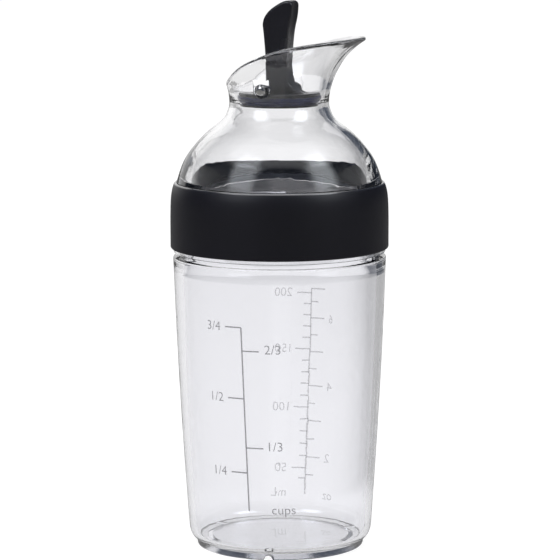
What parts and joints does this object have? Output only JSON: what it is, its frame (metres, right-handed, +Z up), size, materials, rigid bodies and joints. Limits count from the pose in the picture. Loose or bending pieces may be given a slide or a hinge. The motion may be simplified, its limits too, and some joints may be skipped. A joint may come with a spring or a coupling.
{
  "type": "salad dressing shaker bottle",
  "caption": "Clear shaker bottle with a screw-on dome lid whose flared spout is closed by a tilting thumb lever and stopper.",
  "frame": {"origin": "centre of the container's foot ring, at the level it stands on", "axes": "+Z up along the bottle's axis, +X towards the pouring tip of the spout, Y along the lever's hinge pin"},
  "size_m": [0.0707, 0.0707, 0.1776],
  "materials": {
    "clear_plastic": "polished clear thick-walled plastic",
    "clear_silicone": "translucent silicone",
    "clear_lid_plastic": "polished clear plastic",
    "black_matte": "fine matte moulded black",
    "black_satin": "satin moulded black",
    "navy_silicone": "dark navy silicone",
    "pin_steel": "polished stainless steel"
  },
  "bodies": {
    "container": {"container": "clear_plastic"},
    "gasket": {"lid_gasket": "clear_silicone"},
    "lid": {"dome_lid": "clear_lid_plastic", "collar": "black_matte"},
    "lever": {"lever": "black_satin", "stopper_seal": "navy_silicone", "hinge_pin": "pin_steel"}
  },
  "joints": [
    {"name": "lid_rise", "type": "slide", "parent": "container", "child": "gasket", "axis": [0, 0, 1], "range_m": [0, 0.0135]},
    {"name": "lid_turn", "type": "hinge", "parent": "gasket", "child": "lid", "pos_m": [0, 0, 0.1078], "axis": [0, 0, 1], "range_deg": [0, 540]},
    {"name": "lever_tilt", "type": "hinge", "parent": "lid", "child": "lever", "pos_m": [0, 0, 0.1498], "axis": [0, -1, 0], "range_deg": [0, 60]}
  ],
  "couplings": [
    {"joint": "lid_rise", "follows": "lid_turn", "m_per_rad": 0.0014324}
  ]
}
